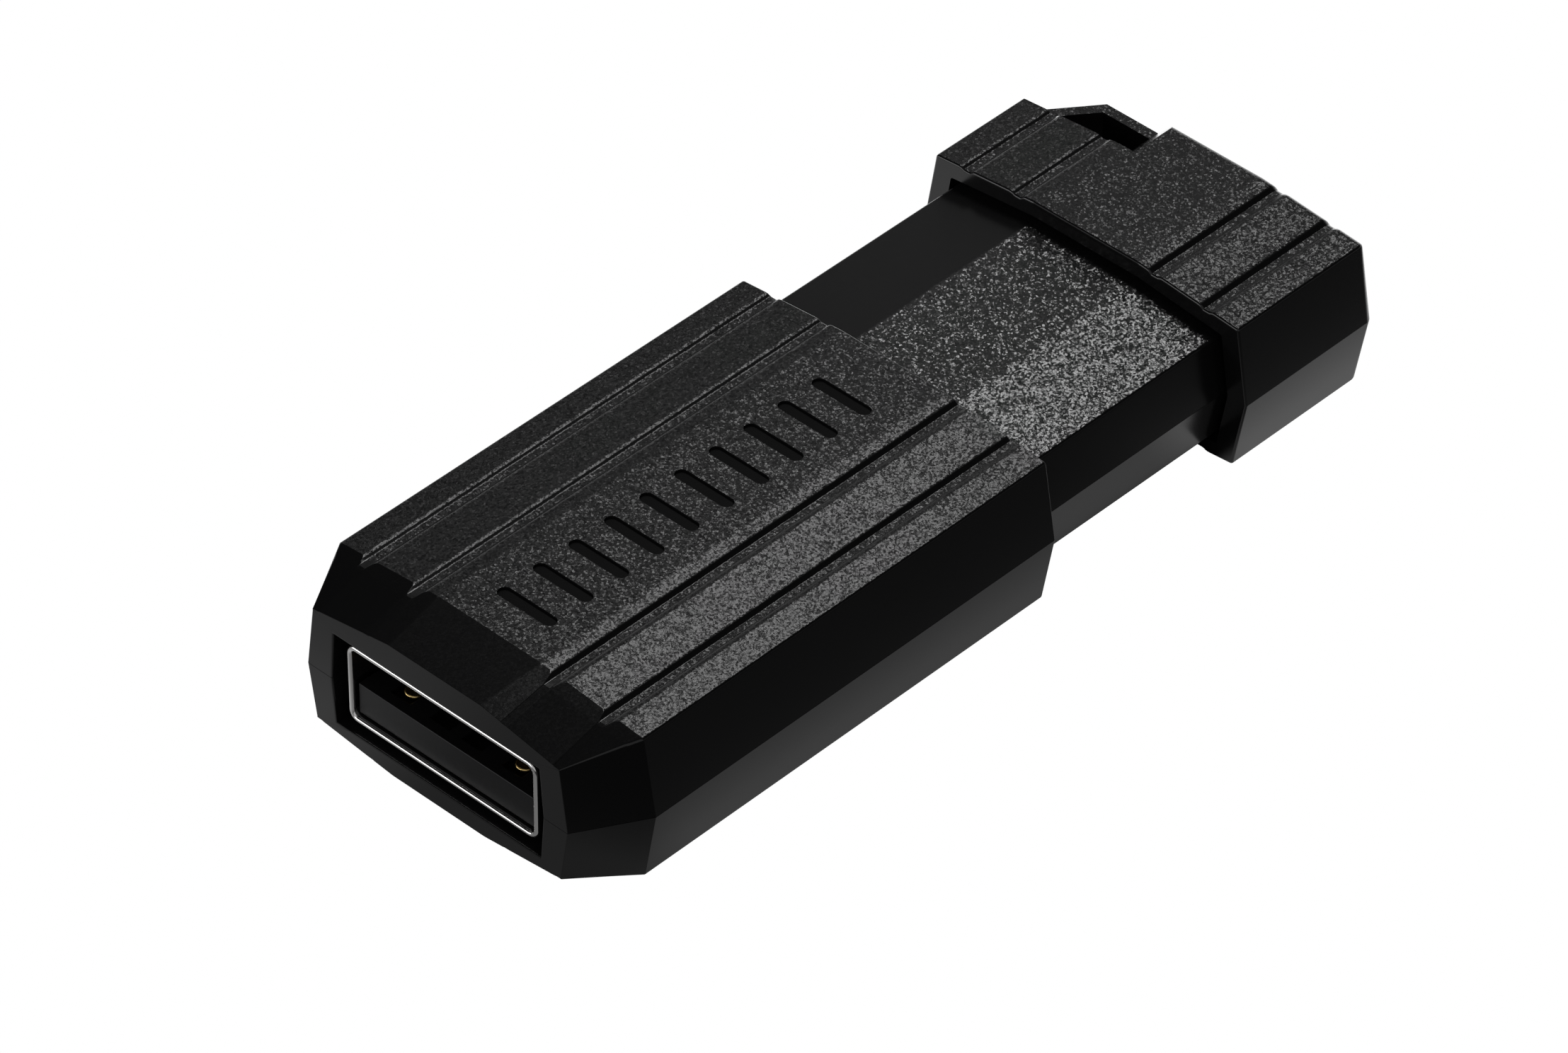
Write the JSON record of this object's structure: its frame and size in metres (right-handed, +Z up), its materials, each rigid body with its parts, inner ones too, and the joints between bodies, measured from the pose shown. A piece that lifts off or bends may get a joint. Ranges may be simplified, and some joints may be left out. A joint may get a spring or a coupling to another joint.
{
  "type": "usb flash drive",
  "caption": "Black pocket memory stick: a plug, board and notched rear grip on a slider that runs in a short grooved sleeve.",
  "frame": {"origin": "under the middle of the closed drive, on the surface it lies on", "axes": "-Y points out of the plug end and +Y out of the grip end, +X is across the width, +Z is up through the face with the keyring notch on its -X side"},
  "size_m": [0.0204, 0.0518, 0.0092],
  "materials": {
    "textured_shell": "black ABS, fine spark-eroded texture above and below, satin sides",
    "slider_core": "black ABS, coarser spark-eroded texture above and below, satin sides",
    "grip_shell": "black ABS, fine spark-eroded texture, satin sides",
    "plug_plate": "bright nickel plate on folded steel sheet",
    "plug_insulator": "black glass-filled nylon",
    "contact_gold": "gold plate on a spring copper alloy",
    "circuit_board": "green solder mask over glass laminate",
    "chip_epoxy": "black moulded epoxy with tinned leads",
    "crystal_can": "plain metal can",
    "capacitor_ceramic": "tan ceramic",
    "resistor_body": "dark grey ceramic"
  },
  "bodies": {
    "sleeve": {"sleeve_upper_shell": "textured_shell", "sleeve_lower_shell": "textured_shell"},
    "slider": {"slider_upper_shell": "slider_core", "slider_lower_shell": "slider_core", "rear_grip": "grip_shell", "plug_shell": "plug_plate", "plug_insulator": "plug_insulator", "circuit_board": "circuit_board", "flash_memory_chip": "chip_epoxy", "controller_chip": "chip_epoxy", "crystal": "crystal_can", "bulk_capacitor": "capacitor_ceramic", "ferrite_bead": "resistor_body", "contact_power": "contact_gold", "contact_data_minus": "contact_gold", "contact_data_plus": "contact_gold", "contact_ground": "contact_gold", "chip_capacitor_1": "capacitor_ceramic", "chip_resistor_1": "resistor_body", "chip_capacitor_2": "capacitor_ceramic", "chip_resistor_2": "resistor_body", "chip_capacitor_3": "capacitor_ceramic", "chip_resistor_3": "resistor_body", "chip_capacitor_4": "capacitor_ceramic", "chip_resistor_4": "resistor_body"}
  },
  "joints": [
    {"name": "plug_slide", "type": "slide", "parent": "sleeve", "child": "slider", "axis": [0, -1, 0], "range_m": [0, 0.0129]}
  ]
}
